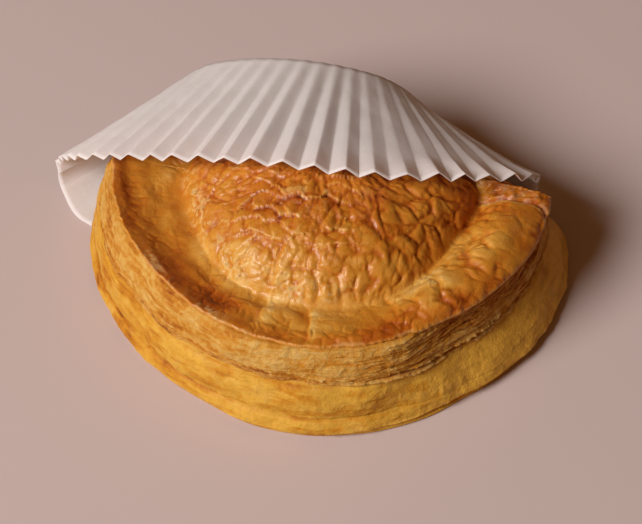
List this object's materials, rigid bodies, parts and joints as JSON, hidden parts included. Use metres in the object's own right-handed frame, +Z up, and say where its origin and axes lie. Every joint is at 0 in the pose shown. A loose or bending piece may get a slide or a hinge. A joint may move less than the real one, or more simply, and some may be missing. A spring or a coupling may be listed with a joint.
{
  "type": "curry pie in a paper case",
  "caption": "Half-moon puff pastry curry pie with a domed glazed lid and layered flaky side, tucked into a white pleated paper case lying on its side.",
  "frame": {"origin": "middle of the underside of the whole, pie and paper case together, on the surface that it rests on", "axes": "+Z up; the pie's straight back runs along X, its round front faces -Y, and the paper case stands behind it at +Y"},
  "size_m": [0.12, 0.0886, 0.0418],
  "materials": {
    "crust": "baked puff pastry, egg-glazed and glossy on the lid and rim, dry and flaky down the side",
    "paper": "thin matt white baking paper, slightly see-through"
  },
  "bodies": {
    "root": {"pie": "crust", "paper_case": "paper"}
  },
  "joints": []
}
